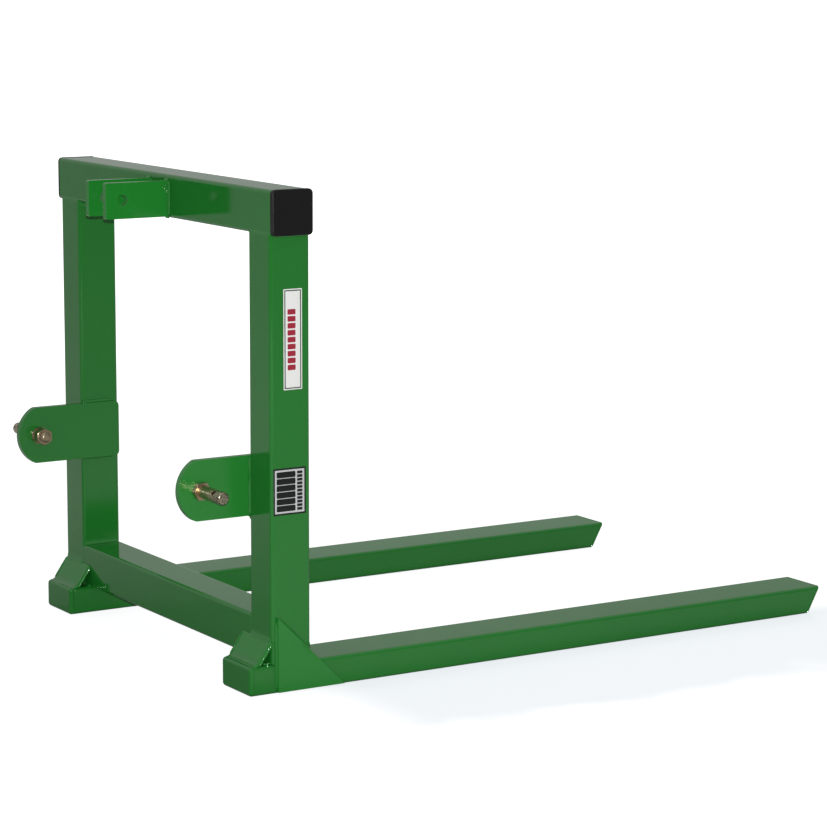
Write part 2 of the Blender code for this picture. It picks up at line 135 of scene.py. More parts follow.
class Graph:
    """A small wrapper that adds nodes and joins them, so that a material reads as a formula."""

    def __init__(self, tree):
        self.tree = tree
        tree.nodes.clear()

    def add(self, kind, settings=None, **inputs):
        made = self.tree.nodes.new(kind)
        for key, value in (settings or {}).items():
            setattr(made, key, value)
        for key, value in inputs.items():
            self.set(made, key, value)
        return made

    def set(self, made, key, value):
        label = key.replace("_", " ")
        socket = None
        if key.startswith("i") and key[1:].isdigit():
            socket = made.inputs[int(key[1:])]
        else:
            for candidate in made.inputs:
                if candidate.name.lower() == label.lower() and candidate.enabled:
                    socket = candidate
                    break
        if socket is None:
            raise KeyError(f"{made.bl_idname} has no input {label}")
        if isinstance(value, bpy.types.NodeSocket):
            self.tree.links.new(value, socket)
        else:
            socket.default_value = value

    def math(self, operation, a, b=0.0, clamp=False):
        made = self.add("ShaderNodeMath", {"operation": operation, "use_clamp": clamp}, i0=a)
        self.set(made, "i1", b)
        return made.outputs[0]

    def mix(self, factor, a, b, blend="MIX"):
        made = self.add("ShaderNodeMix", {"data_type": "RGBA", "blend_type": blend})
        self.set(made, "i0", factor)
        self.set(made, "i6", a)
        self.set(made, "i7", b)
        return made.outputs[2]

    def step(self, value, low, high):
        """0 below low, 1 above high, smooth between."""
        made = self.add(
            "ShaderNodeMapRange", {"interpolation_type": "SMOOTHSTEP", "clamp": True}, Value=value
        )
        self.set(made, "i1", low)
        self.set(made, "i2", high)
        return made.outputs[0]

    def span(self, value, low, high):
        """A 0 to 1 value spread between low and high."""
        made = self.add("ShaderNodeMapRange", {"clamp": True}, Value=value)
        self.set(made, "i3", low)
        self.set(made, "i4", high)
        return made.outputs[0]

    def noise(self, scale, detail=2.0, roughness=0.5, vector=None, distortion=0.0):
        made = self.add(
            "ShaderNodeTexNoise",
            Scale=scale,
            Detail=detail,
            Roughness=roughness,
            Distortion=distortion,
        )
        self.set(made, "Vector", vector or self.place())
        return made.outputs["Fac"]

    def cells(self, scale, feature="F1", vector=None):
        made = self.add("ShaderNodeTexVoronoi", {"feature": feature}, Scale=scale)
        self.set(made, "Vector", vector or self.place())
        return made.outputs["Distance"]

    def place(self):
        return self.add("ShaderNodeTexCoord").outputs["Object"]

    def edge(self, radius):
        """0 on a flat face, rising to about 0.3 on a square edge."""
        rounded = self.add("ShaderNodeBevel", {"samples": 4}, Radius=radius).outputs[0]
        flat = self.add("ShaderNodeNewGeometry").outputs["Normal"]
        dot = self.add("ShaderNodeVectorMath", {"operation": "DOT_PRODUCT"}, i0=rounded, i1=flat)
        return self.math("SUBTRACT", 1.0, dot.outputs["Value"], clamp=True)

    def up(self):
        """How far the face looks upwards, -1 to 1."""
        normal = self.add("ShaderNodeNewGeometry").outputs["Normal"]
        return self.add("ShaderNodeSeparateXYZ", Vector=normal).outputs["Z"]

    def ear_hole(self):
        """1 inside the ear hole and just around it, 0 elsewhere."""
        place = self.add("ShaderNodeSeparateXYZ", Vector=self.place())
        y = self.math("SUBTRACT", place.outputs["Y"], EAR_HOLE_Y)
        z = self.math("SUBTRACT", place.outputs["Z"], EAR_HOLE_Z)
        squared = self.math("ADD", self.math("MULTIPLY", y, y), self.math("MULTIPLY", z, z))
        return self.math("LESS_THAN", self.math("SQRT", squared), SCUFFED_RADIUS)

    def bump(self, height, distance, strength=1.0, normal=None):
        made = self.add("ShaderNodeBump", Height=height, Distance=distance, Strength=strength)
        if normal is not None:
            self.set(made, "Normal", normal)
        return made.outputs[0]

    def surface(self, **inputs):
        shader = self.add("ShaderNodeBsdfPrincipled", **inputs)
        out = self.add("ShaderNodeOutputMaterial")
        self.tree.links.new(shader.outputs[0], out.inputs[0])


def new_material(name):
    made = bpy.data.materials.new(name)
    made.use_nodes = True
    return made, Graph(made.node_tree)


def scaled(colour, factor):
    return (*[c * factor for c in colour], 1.0)


# ---------------------------------------------------------------- materials

# Powder coat: full, thin on sharp edges, chipped, and under dust
GREEN = (0.0108, 0.158, 0.0180)
THIN_GREEN = (0.030, 0.235, 0.045, 1.0)
CHIP_GREY = (0.10, 0.115, 0.10, 1.0)
DUST_GREY = (0.30, 0.30, 0.27, 1.0)
COAT_IOR = 1.5
SCUFFED_ROUGHNESS = 0.6

# Plastic: two drifting blacks and a paler edge
PLASTIC_LOW, PLASTIC_HIGH = (0.0018, 0.0017, 0.0016, 1.0), (0.0030, 0.0029, 0.0028, 1.0)
PLASTIC_EDGE = (0.012, 0.0115, 0.011, 1.0)

# Yellow zinc: two drifting golds, a pink blush, a green smoke, pale edges and a blotched end
ZINC_LOW, ZINC_HIGH = (0.33, 0.21, 0.12, 1.0), (0.52, 0.44, 0.31, 1.0)
ZINC_BLUSH = (0.38, 0.22, 0.15, 1.0)
ZINC_SMOKE = (0.36, 0.40, 0.30, 1.0)
ZINC_EDGE = (0.78, 0.75, 0.66, 1.0)
BLOTCH_LOW, BLOTCH_HIGH = (0.12, 0.11, 0.07, 1.0), (0.48, 0.46, 0.34, 1.0)
WORN_FROM, WORN_TO = 0.385, 0.408


def green_paint(name, shade, smoothest, roughest, worn_hole=False):
    """Glossy powder coat over steel: orange peel, a few dust nibs, thin paint on sharp edges.

    With worn_hole the paint is scuffed dull in and around the hole for the top-link pin.
    """
    material, g = new_material(name)
    clouds = g.noise(4.0, 3.0, 0.55)
    # shade scales the green up or down to stand for the light the part gets: painted light and
    # painted shade
    colour = g.mix(clouds, scaled(GREEN, 0.93 * shade), scaled(GREEN, 1.07 * shade))

    # Thin paint and chips on sharp edges
    edge = g.edge(1.6 * MM)
    ragged = g.noise(220.0, 4.0, 0.7)
    thin = g.step(g.math("MULTIPLY", edge, g.span(ragged, 0.3, 1.6)), 0.05, 0.35)
    colour = g.mix(g.math("MULTIPLY", thin, 0.35), colour, THIN_GREEN)
    chips = g.math(
        "MULTIPLY", g.step(edge, 0.06, 0.22), g.step(g.noise(95.0, 5.0, 0.75), 0.67, 0.70)
    )
    colour = g.mix(g.math("MULTIPLY", chips, 0.75), colour, CHIP_GREY)

    # Dust on what looks upwards
    dusty = g.step(g.noise(30.0, 5.0, 0.6), 0.35, 0.75)
    dust = g.math("MULTIPLY", g.step(g.up(), 0.5, 0.95), dusty)
    colour = g.mix(g.math("MULTIPLY", dust, 0.015), colour, DUST_GREY)

    scuffs = g.step(g.noise(11.0, 6.0, 0.65), 0.55, 0.75)
    rough = g.math("ADD", g.span(scuffs, smoothest, roughest), g.math("MULTIPLY", dust, 0.02))
    rough = g.math("ADD", rough, g.math("MULTIPLY", chips, 0.25))
    if worn_hole:
        rough = g.math("MAXIMUM", rough, g.math("MULTIPLY", g.ear_hole(), SCUFFED_ROUGHNESS))

    # Orange peel, fine grain, dust nibs under the paint and the depth of the chips
    peel = g.noise(330.0, 1.0, 0.4)
    fine = g.noise(1500.0, 1.0, 0.5)
    nibs = g.step(g.cells(55.0), 0.045, 0.0)
    normal = g.bump(peel, 0.10 * MM, 0.16)
    normal = g.bump(fine, 0.02 * MM, 0.25, normal)
    normal = g.bump(nibs, 0.25 * MM, 0.5, normal)
    normal = g.bump(g.math("SUBTRACT", 1.0, chips), 0.08 * MM, 0.7, normal)
    g.surface(Base_Color=colour, Roughness=rough, Normal=normal, IOR=COAT_IOR)
    return material


def black_plastic():
    """Moulded polyethylene: a fine leathery grain, rubbed patches, slightly paler edges."""
    material, g = new_material("moulded_black_plastic")
    grain = g.cells(1100.0, "SMOOTH_F1")
    clouds = g.noise(28.0, 4.0, 0.6)
    edge = g.step(g.edge(1.4 * MM), 0.03, 0.3)
    colour = g.mix(clouds, PLASTIC_LOW, PLASTIC_HIGH)
    colour = g.mix(g.math("MULTIPLY", edge, 0.5), colour, PLASTIC_EDGE)
    rubs = g.step(g.noise(60.0, 6.0, 0.7, distortion=1.5), 0.60, 0.72)
    rough = g.math("SUBTRACT", g.span(clouds, 0.34, 0.45), g.math("MULTIPLY", rubs, 0.08))
    normal = g.bump(grain, 0.05 * MM, 0.35)
    normal = g.bump(clouds, 0.4 * MM, 0.10, normal)
    g.surface(Base_Color=colour, Roughness=rough, Normal=normal, IOR=1.40)
    return material


def yellow_zinc():
    """Yellow chromate over zinc: gold with pink and green drifts, turning marks, pale edges.

    The outer end of the pin is blotched by wear.
    """
    material, g = new_material("yellow_zinc_plate")
    drift = g.noise(55.0, 3.0, 0.55, distortion=0.8)
    tint = g.mix(drift, ZINC_LOW, ZINC_HIGH)
    blush = g.step(g.noise(120.0, 2.0, 0.5), 0.52, 0.70)
    tint = g.mix(g.math("MULTIPLY", blush, 0.5), tint, ZINC_BLUSH)
    smoke = g.step(g.noise(75.0, 4.0, 0.6), 0.56, 0.70)
    tint = g.mix(g.math("MULTIPLY", smoke, 0.35), tint, ZINC_SMOKE)
    # The worn end of the pin
    position = g.add("ShaderNodeNewGeometry").outputs["Position"]
    across = g.math("ABSOLUTE", g.add("ShaderNodeSeparateXYZ", Vector=position).outputs["X"])
    worn_end = g.step(across, WORN_FROM, WORN_TO)
    blotch = g.mix(g.step(g.noise(330.0, 2.0, 0.6), 0.42, 0.60), BLOTCH_LOW, BLOTCH_HIGH)
    tint = g.mix(g.math("MULTIPLY", worn_end, 0.8), tint, blotch)
    edge = g.step(g.edge(0.9 * MM), 0.04, 0.35)
    tint = g.mix(g.math("MULTIPLY", edge, 0.6), tint, ZINC_EDGE)

    turning = g.add(
        "ShaderNodeTexWave",
        {"wave_type": "BANDS", "bands_direction": "X"},
        Vector=g.place(),
        Scale=900.0,
        Distortion=3.0,
        Detail=2.0,
    ).outputs["Fac"]
    pits = g.noise(900.0, 3.0, 0.6)
    rough = g.math("ADD", g.span(drift, 0.20, 0.32), g.math("MULTIPLY", pits, 0.06))
    normal = g.bump(turning, 0.02 * MM, 0.35)
    normal = g.bump(pits, 0.03 * MM, 0.30, normal)
    g.surface(Base_Color=tint, Metallic=0.95, Roughness=rough, Normal=normal)
    return material


def vinyl(name, colour, shade):
    """Printed vinyl film: a faint mottle, slightly grey worn borders, a soft satin surface."""
    material, g = new_material(name)
    mottle = g.noise(260.0, 3.0, 0.6)
    tint = g.mix(mottle, scaled(colour, 0.95), scaled(colour, 1.03))
    edge = g.step(g.edge(0.8 * MM), 0.02, 0.3)
    tint = g.mix(g.math("MULTIPLY", edge, 0.5), tint, scaled(shade, 1.0))
    waves = g.noise(45.0, 2.0, 0.5)
    rough = g.span(g.noise(34.0, 4.0, 0.6), 0.26, 0.42)
    normal = g.bump(waves, 0.25 * MM, 0.12)
    normal = g.bump(mottle, 0.02 * MM, 0.25, normal)
    g.surface(Base_Color=tint, Roughness=rough, Normal=normal, IOR=1.46)
    return material


def floor_material():
    """Pale studio floor. The camera sees it close to white, with faint shadows and a cool painted
    shadow.

    Painted shade in its colour dims the light it gives the object between the forks and just before
    the frame.
    """
    material, g = new_material("studio_floor")
    cloud = g.noise(1.2, 2.0, 0.5)
    pale = g.mix(cloud, FLOOR_LOW, FLOOR_HIGH)
    place = g.add("ShaderNodeSeparateXYZ", Vector=g.place())
    across, along = place.outputs["X"], place.outputs["Y"]

    # Painted light: brighter in a strip right of the near fork, on the far left, and a little
    # beside the forks
    bright = g.math("SUBTRACT", g.step(across, 0.36, 0.62), g.step(across, 0.9, 2.2))
    bright = g.math("ADD", bright, g.math("SUBTRACT", 1.0, g.step(across, -1.6, 0.1)))
    beside = g.math("MULTIPLY", g.step(along, -0.62, -0.45), PAINTED_LIGHT_BESIDE_FORKS)
    bright = g.math("ADD", bright, beside, clamp=True)
    # Painted shade: everywhere else the floor's colour is dimmed
    pale = g.mix(1.0, pale, g.mix(bright, FLOOR_PAINTED_SHADE, WHITE), blend="MULTIPLY")
    body = g.add("ShaderNodeBsdfDiffuse", Color=pale)

    # The painted shadow: a cool patch right of the near fork, with a ragged outer edge, behind the
    # foot
    ragged = g.math("ADD", across, g.span(g.noise(3.5, 2.0, 0.5), -0.12, 0.12))
    patch = g.math("SUBTRACT", g.step(across, 0.33, 0.41), g.step(ragged, 0.70, 0.80))
    patch = g.math("MULTIPLY", patch, g.step(along, -0.50, -0.36))
    painted_shadow_tone = g.mix(patch, WHITE, FLOOR_PAINTED_SHADOW)
    lift_colour = g.mix(1.0, painted_shadow_tone, FLOOR_LIFT, blend="MULTIPLY")
    shade_colour = g.mix(1.0, painted_shadow_tone, FLOOR_SHADE, blend="MULTIPLY")
    away = g.add("ShaderNodeVectorMath", {"operation": "LENGTH"}, i0=g.place()).outputs["Value"]
    glow = g.math("ADD", 1.0, g.math("MULTIPLY", g.step(away, 1.2, 4.0), FAR_GLOW))
    lift = g.add("ShaderNodeEmission", Color=lift_colour, Strength=glow)
    grey = g.add("ShaderNodeBsdfDiffuse", Color=shade_colour)
    seen = g.add("ShaderNodeAddShader")
    g.tree.links.new(lift.outputs[0], seen.inputs[0])
    g.tree.links.new(grey.outputs[0], seen.inputs[1])
    camera = g.add("ShaderNodeLightPath").outputs["Is Camera Ray"]
    both = g.add("ShaderNodeMixShader", Fac=camera)
    g.tree.links.new(body.outputs[0], both.inputs[1])
    g.tree.links.new(seen.outputs[0], both.inputs[2])
    out = g.add("ShaderNodeOutputMaterial")
    g.tree.links.new(both.outputs[0], out.inputs[0])
    return material


# One powder coat in several copies; the second number scales the green as painted light and shade:
# painted light on the plates, the right lug, the ears and a little on the welds; painted shade on
# the left lug
PAINT = green_paint("green_powder_coat", 1.0, 0.09, 0.13)
LIT_PLATE_PAINT = green_paint("green_powder_coat_plates", 1.16, 0.11, 0.16)
LUG_PAINT = green_paint("green_powder_coat_lugs", 1.22, 0.22, 0.30)
SHADED_LEFT_LUG_PAINT = green_paint("green_powder_coat_left_lug", 1.0, 0.20, 0.28)
LIT_EAR_PAINT = green_paint("green_powder_coat_ears", 1.26, 0.11, 0.16, worn_hole=True)
WELD_PAINT = green_paint("green_powder_coat_welds", 1.05, 0.09, 0.14)
PLASTIC = black_plastic()
ZINC = yellow_zinc()
WHITE_FILM = vinyl("white_vinyl_film", (0.78, 0.78, 0.76), (0.42, 0.44, 0.42))
GREY_FILM = vinyl("grey_vinyl_film", (0.50, 0.52, 0.52), (0.20, 0.22, 0.20))
RED_INK = vinyl("red_ink", (0.33, 0.018, 0.040), (0.30, 0.06, 0.08))
BLACK_INK = vinyl("black_ink", (0.002, 0.004, 0.003), (0.02, 0.025, 0.02))
BORDER_INK = vinyl("border_ink", (0.010, 0.045, 0.013), (0.02, 0.06, 0.02))


# ---------------------------------------------------------------- dressing the CAD nodes


CREASE_ANGLE = math.radians(38.0)
BEVEL_ANGLE = math.radians(34.0)
BEVEL_SEGMENTS = 3
FLAT_ANGLE = math.radians(1.0)
WELD_SHARP_ANGLE = math.radians(50.0)


def crease_group():
    """Smooth shading that stays sharp where two faces meet at more than CREASE_ANGLE."""
    group = bpy.data.node_groups.new("shade_by_angle", "GeometryNodeTree")
    group.interface.new_socket("Geometry", in_out="INPUT", socket_type="NodeSocketGeometry")
    group.interface.new_socket("Geometry", in_out="OUTPUT", socket_type="NodeSocketGeometry")
    nodes, links = group.nodes, group.links
    start, end = nodes.new("NodeGroupInput"), nodes.new("NodeGroupOutput")
    faces = nodes.new("GeometryNodeSetShadeSmooth")
    edges = nodes.new("GeometryNodeSetShadeSmooth")
    edges.domain = "EDGE"
    angle = nodes.new("GeometryNodeInputMeshEdgeAngle")
    wide = nodes.new("FunctionNodeCompare")
    wide.data_type = "FLOAT"
    wide.operation = "GREATER_THAN"
    wide.inputs[1].default_value = CREASE_ANGLE
    edges.inputs["Shade Smooth"].default_value = False
    links.new(start.outputs[0], faces.inputs[0])
    links.new(faces.outputs[0], edges.inputs[0])
    links.new(angle.outputs[0], wide.inputs[0])
    links.new(wide.outputs[0], edges.inputs["Selection"])
    links.new(edges.outputs[0], end.inputs[0])
    return group


CREASES = crease_group()


def dress(obj, material, width):
    """Joined facets, rounded edges and smooth shading, all as modifiers."""
    obj.data.materials.clear()
    obj.data.materials.append(material)
    weld = obj.modifiers.new("join", "WELD")
    weld.merge_threshold = 0.01 * MM
    flat = obj.modifiers.new("flats", "DECIMATE")
    flat.decimate_type = "DISSOLVE"
    flat.angle_limit = FLAT_ANGLE
    if width:
        bevel = obj.modifiers.new("edges", "BEVEL")
        bevel.width = width
        bevel.segments = BEVEL_SEGMENTS
        bevel.limit_method = "ANGLE"
        bevel.angle_limit = BEVEL_ANGLE
        bevel.use_clamp_overlap = True
    shade = obj.modifiers.new("shade", "NODES")
    shade.node_group = CREASES
    normals = obj.modifiers.new("normals", "WEIGHTED_NORMAL")
    normals.keep_sharp = True


# The finish of a node and the width of its rounded edges, by how its name ends
FINISHES = {
    "upright": (PAINT, 0.6 * MM),
    "cross_tube": (PAINT, 0.6 * MM),
    "fork_tube": (PAINT, 0.6 * MM),
    "fork_heel_plate": (PAINT, 0.5 * MM),
    "fork_tip_plate": (PAINT, 0.8 * MM),
    "front_brace": (LIT_PLATE_PAINT, 1.8 * MM),
    "side_gusset": (LIT_PLATE_PAINT, 1.0 * MM),
    "left_lower_lug": (SHADED_LEFT_LUG_PAINT, 1.4 * MM),
    "right_lower_lug": (LUG_PAINT, 1.4 * MM),
    "top_link_ear": (LIT_EAR_PAINT, 1.2 * MM),
    "tube_cap": (PLASTIC, 0.5 * MM),
    "lower_pin": (ZINC, 0.5 * MM),
    "pin_nut": (ZINC, 0.35 * MM),
    "lock_washer": (ZINC, 0.3 * MM),
    "upper_label": (WHITE_FILM, 0.0),
    "lower_label": (GREY_FILM, 0.0),
}

for node_name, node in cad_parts.items():
    for ending, (finish, rounding) in FINISHES.items():
        if node_name.endswith(ending):
            dress(node, finish, rounding)


# ---------------------------------------------------------------- weld beads

# How beads, hollow fillets, flush seams and smooth banks are built
RIPPLE = 3.1 * MM
BEAD_STEP = 0.75 * MM
BEAD_SIDES = 14
FILLET_STEPS = 10
FILLET_UNEVEN = 0.08
FILLET_SINK = 1.2 * MM
SEAM_PROUD = 0.35 * MM
BANK_PROUD = 0.35 * MM
BANK_OVERLAP = 4 * MM

# Leg lengths of the beads and fillets
EAR_BEAD = 5.0 * MM
EAR_UNDER_BEAD = 4.0 * MM
LUG_BEAD = 5.5 * MM
LUG_FRONT_BEAD = 5.0 * MM
LUG_CORNER_FILLET = 5.8 * MM
FRAME_SEAM = 7.0 * MM
TOP_CORNER_FILLET = 8.5 * MM
UNDER_PLUG_BEAD = 5.4 * MM
BOTTOM_CORNER_FILLET = 8.0 * MM
FORK_TOP_FILLET = 7.5 * MM
BRACE_BEAD = 5.0 * MM
BRACE_TOE_FILLET = 9.6 * MM
BRACE_TOE_STRETCH = 1.7
BRACE_HEAD_FILLET = 10.0 * MM
GUSSET_BEAD = 4.0 * MM
GUSSET_FRONT_BEAD = 5.2 * MM
GUSSET_BANK_REACH = 9.0 * MM
UPRIGHT_REAR_BEAD = 6.0 * MM

# Coarse ripples, as on the ears and the edges of the braces
COARSE = 0.16
EAR_PITCH = 7 * MM
BRACE_PITCH = 6 * MM

# The way flattened drops of weld metal face, as shares of outwards, forwards and up
DROP_FACING = (0.84, 0.52, 0.16)


def sampled(path, spacing):
    """Points along a polyline at an even spacing, with the direction at each."""
    points = []
    for start, end in zip(path, path[1:]):
        run = end - start
        count = max(1, round(run.length / spacing))
        for i in range(count):
            points.append((start + run * (i / count), run.normalized()))
    points.append((path[-1], (path[-1] - path[-2]).normalized()))
    return points


def bead(
    shape, path, first, second, leg, seed, flat=0.45, ripple=0.05, run_out=0.8, pitch=RIPPLE
):
    """Adds one weld bead in the corner between two faces with outward normals first, second.

    The bead is a closed ridge with crescent ripples, an uneven width and rounded ends.
    """
    out = (first + second).normalized()
    across = (first - second).normalized()
    points = sampled(path, BEAD_STEP)
    travelled = 0.0
    total = sum((b[0] - a[0]).length for a, b in zip(points, points[1:]))
    end_run = min(leg * run_out, total / 3)
    rings = []
    for index, (centre, along) in enumerate(points):
        if index:
            travelled += (centre - points[index - 1][0]).length
        from_end = min(travelled, total - travelled) / end_run
        taper = math.sqrt(max(0.0, 1 - (1 - min(1.0, from_end)) ** 2))
        taper = max(taper, 0.05)
        drift = noise.noise(Vector((travelled * 90.0, seed * 7.3, 0.0)))
        sway = noise.noise(Vector((travelled * 60.0, seed * 3.1, 5.0)))
        ring = []
        for side in range(BEAD_SIDES):
            turn = 2 * math.pi * side / BEAD_SIDES
            lead = travelled - 0.55 * pitch * (1 - abs(math.cos(turn))) * 1.4
            phase = (lead / pitch + 0.25 * drift) % 1.0
            crest = math.sqrt(max(0.0, 1 - (1.25 * phase - 0.25) ** 2))
            swell = 0.96 - 0.4 * ripple + ripple * crest + (0.04 + 0.5 * ripple) * drift
            wide = leg * 0.74 * math.cos(turn) * swell * taper
            high = leg * flat * math.sin(turn) * swell * taper
            middle = centre + out * leg * 0.30 + across * leg * 0.12 * sway
            ring.append(shape.verts.new(middle + across * wide + out * high))
        rings.append(ring)
    for a, b in zip(rings, rings[1:]):
        for i in range(BEAD_SIDES):
            j = (i + 1) % BEAD_SIDES
            shape.faces.new((a[i], a[j], b[j], b[i]))
    shape.faces.new(list(reversed(rings[0])))
    shape.faces.new(rings[-1])


def spatter(shape, centre, spread, first, second, count, seed):
    """Small round drops scattered over the plane that holds the directions first and second."""
    draw = random.Random(seed)
    for _ in range(count):
        radius = draw.uniform(0.35, 1.0) * MM
        offset = first * draw.gauss(0.0, spread) + second * draw.gauss(0.0, spread * 1.6)
        place = Matrix.Translation(centre + offset)
        bmesh.ops.create_icosphere(shape, subdivisions=2, radius=radius, matrix=place)


def finish_piece(name, shape, material, smooth=True):
    """A piece from a bmesh, riding on the frame."""
    bmesh.ops.recalc_face_normals(shape, faces=shape.faces[:])
    mesh = bpy.data.meshes.new(name)
    shape.to_mesh(mesh)
    shape.free()
    if smooth:
        mesh.shade_smooth()
        mesh.set_sharp_from_angle(angle=WELD_SHARP_ANGLE)
    mesh.materials.append(material)
    obj = bpy.data.objects.new(name, mesh)
    bpy.context.scene.collection.objects.link(obj)
    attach(obj, "root")


def at(side, x, y, z):
    return Vector((side * x, y, z))


def fillet(shape, path, along_a, along_b, leg, seed, stretch=1.0):
    """Adds a smooth hollow weld in the corner between two faces.

    The faces start at the path and run away from it in the directions along_a and along_b.
    The leg on the second face is longer by the factor stretch.
    """
    half = along_a.angle(along_b) / 2
    bisector = (along_a + along_b).normalized()
    side_a = (along_a - bisector * along_a.dot(bisector)).normalized()
    radius = leg * math.tan(half)
    reach = leg / math.cos(half)
    sweep = math.pi / 2 - half
    skew = along_a.cross(along_b)
    points = sampled(path, 2.0 * BEAD_STEP)
    total = (path[-1] - path[0]).length
    rings = []
    for centre, _ in points:
        travelled = (centre - path[0]).length
        from_end = min(travelled, total - travelled) / (leg * 0.8)
        taper = max(0.06, math.sqrt(max(0.0, 1 - (1 - min(1.0, from_end)) ** 2)))
        drift = noise.noise(Vector((travelled * 70.0, seed * 5.7, 2.0)))
        size = taper * (1 + FILLET_UNEVEN * drift)
        ring = []
        for i in range(FILLET_STEPS + 1):
            angle = sweep * (1 - 2 * i / FILLET_STEPS)
            away = bisector * (reach - radius * math.cos(angle)) + side_a * radius * math.sin(angle)
            second = along_a.cross(away).dot(skew) / skew.length_squared
            away += along_b * second * (stretch - 1)
            ring.append(shape.verts.new(centre + away * size))
        inside = bisector * -FILLET_SINK
        for away in (along_b * leg * stretch * size, Vector(), along_a * leg * size):
            ring.append(shape.verts.new(centre + away * 0.98 + inside))
        rings.append(ring)
    for a, b in zip(rings, rings[1:]):
        for i in range(len(a)):
            j = (i + 1) % len(a)
            shape.faces.new((a[i], a[j], b[j], b[i]))
    shape.faces.new(list(reversed(rings[0])))
    shape.faces.new(rings[-1])


def bank(shape, path, thickness, outward, reach, seed):
    """Adds a smooth slope from the face of a plate, beside its edge, down to the face below."""
    points = sampled(path, 2.0 * BEAD_STEP)
    total = (path[-1] - path[0]).length
    proud = thickness.normalized() * BANK_PROUD
    rings = []
    for centre, _ in points:
        travelled = (centre - path[0]).length
        drift = noise.noise(Vector((travelled * 40.0, seed * 5.7, 2.0)))
        from_end = min(travelled, total - travelled)
        size = reach * (1 + 0.15 * drift) * min(1.0, 0.05 + from_end / (total * 0.4))
        ring = [centre - outward * BANK_OVERLAP]
        for i in range(FILLET_STEPS + 1):
            share = i / FILLET_STEPS
            height = 0.5 + 0.5 * math.cos(math.pi * share)
            step = outward * (size * share - BANK_OVERLAP * (1 - share))
            ring.append(centre + step + thickness * height + proud * (1 - share) - proud * share)
        rings.append([shape.verts.new(point) for point in ring])
    for a, b in zip(rings, rings[1:]):
        for i in range(len(a)):
            j = (i + 1) % len(a)
            shape.faces.new((a[i], a[j], b[j], b[i]))
    shape.faces.new(list(reversed(rings[0])))
    shape.faces.new(rings[-1])


def globs(shape, centre, first, second, facing, count, spread, seed):
    """Flattened drops of weld metal that lie on a surface and look towards facing."""
    draw = random.Random(seed)
    turn = facing.to_track_quat("Z", "Y").to_matrix().to_4x4()
    for _ in range(count):
        wide = draw.uniform(1.8, 2.6) * MM
        size = Matrix.Diagonal((wide, wide * draw.uniform(0.7, 1.0), wide * 0.32, 1.0))
        offset = first * draw.gauss(0.0, spread) + second * draw.gauss(0.0, spread * 1.7)
        place = Matrix.Translation(centre + offset) @ turn @ size
        bmesh.ops.create_icosphere(shape, subdivisions=3, radius=1.0, matrix=place)


def drop_facing(side):
    """The direction that the drops on one side of the frame face."""
    out, forward, up = DROP_FACING
    return (X_AXIS * side * out - Y_AXIS * forward + Z_AXIS * up).normalized()


def seam(shape, path, facing, across, width, seed):
    """A low, nearly flush bead that fills the groove between two rounded corners."""
    high = width * 0.35
    sunk = [point - facing * (high + 0.3 * width - SEAM_PROUD) for point in path]
    bead(shape, sunk, facing + across, facing - across, width, seed, flat=0.35, ripple=0.03)


def weld_ears():
    """Ear plates to the top tube: both faces, across the top and across the bottom."""
    for side, name in SIDES:
        shape = bmesh.new()
        outwards = X_AXIS * side
        for x, facing in ((EAR_HIGH.x, outwards), (EAR_LOW.x, -outwards)):
            path = [at(side, x, FRONT, EAR_LOW.z + 3 * MM), at(side, x, FRONT, EAR_HIGH.z - 1 * MM)]
            seed = 11 + side + x
            bead(shape, path, facing, -Y_AXIS, EAR_BEAD, seed, ripple=COARSE, pitch=EAR_PITCH)
        top = [at(side, EAR_LOW.x, FRONT, EAR_HIGH.z), at(side, EAR_HIGH.x, FRONT, EAR_HIGH.z)]
        bead(shape, top, Z_AXIS, -Y_AXIS, EAR_BEAD, 21 + side, ripple=0.15)
        under = [at(side, EAR_LOW.x, FRONT, EAR_LOW.z), at(side, EAR_HIGH.x, FRONT, EAR_LOW.z)]
        bead(shape, under, -Z_AXIS, -Y_AXIS, EAR_UNDER_BEAD, 23 + side)
        drops = at(side, EAR_HIGH.x + 0.1 * MM, FRONT - 7 * MM, EAR_HIGH.z - 8 * MM)
        spatter(shape, drops, 4.5 * MM, Y_AXIS, Z_AXIS, 16, 31 + side)
        drops = at(side, (EAR_LOW.x + EAR_HIGH.x) / 2, FRONT - 12 * MM, EAR_HIGH.z + 0.1 * MM)
        spatter(shape, drops, 4.0 * MM, Y_AXIS, X_AXIS, 9, 41 + side)
        lumps = at(side, EAR_HIGH.x + 0.8 * MM, FRONT - 5.5 * MM, EAR_HIGH.z - 11 * MM)
        globs(shape, lumps, Y_AXIS, Z_AXIS, drop_facing(side), 9, 2.8 * MM, 33 + side)
        finish_piece(name + "_ear_welds", shape, WELD_PAINT)


def weld_lugs():
    """Lugs to the uprights: along the top and bottom, up the front corner, and a small fillet."""
    for side, name in SIDES:
        shape = bmesh.new()
        inwards = -X_AXIS * side
        reach = (FRONT + CORNER * 0.7, min(REAR - CORNER * 0.7, LUG_HIGH.y - 8 * MM))
        for z, facing, seed in ((LUG_HIGH.z, Z_AXIS, 51), (LUG_LOW.z, -Z_AXIS, 52)):
            path = [at(side, INNER, reach[0], z), at(side, INNER, reach[1], z)]
            bead(shape, path, inwards, facing, LUG_BEAD, seed + side)
        front = [
            at(side, INNER, FRONT + 1.5 * MM, LUG_LOW.z + 3 * MM),
            at(side, INNER, FRONT + 1.5 * MM, LUG_HIGH.z - 3 * MM),
        ]
        bead(shape, front, X_AXIS * side, -Y_AXIS, LUG_FRONT_BEAD, 57 + side, flat=0.35)
        y, z = FRONT + 2.2 * MM, LUG_LOW.z
        path = [at(side, LUG_HIGH.x - 5 * MM, y, z), at(side, LUG_HIGH.x + 6 * MM, y, z)]
        fillet(shape, path, -Y_AXIS, -Z_AXIS, LUG_CORNER_FILLET, 58 + side)
        finish_piece(name + "_lug_welds", shape, WELD_PAINT)


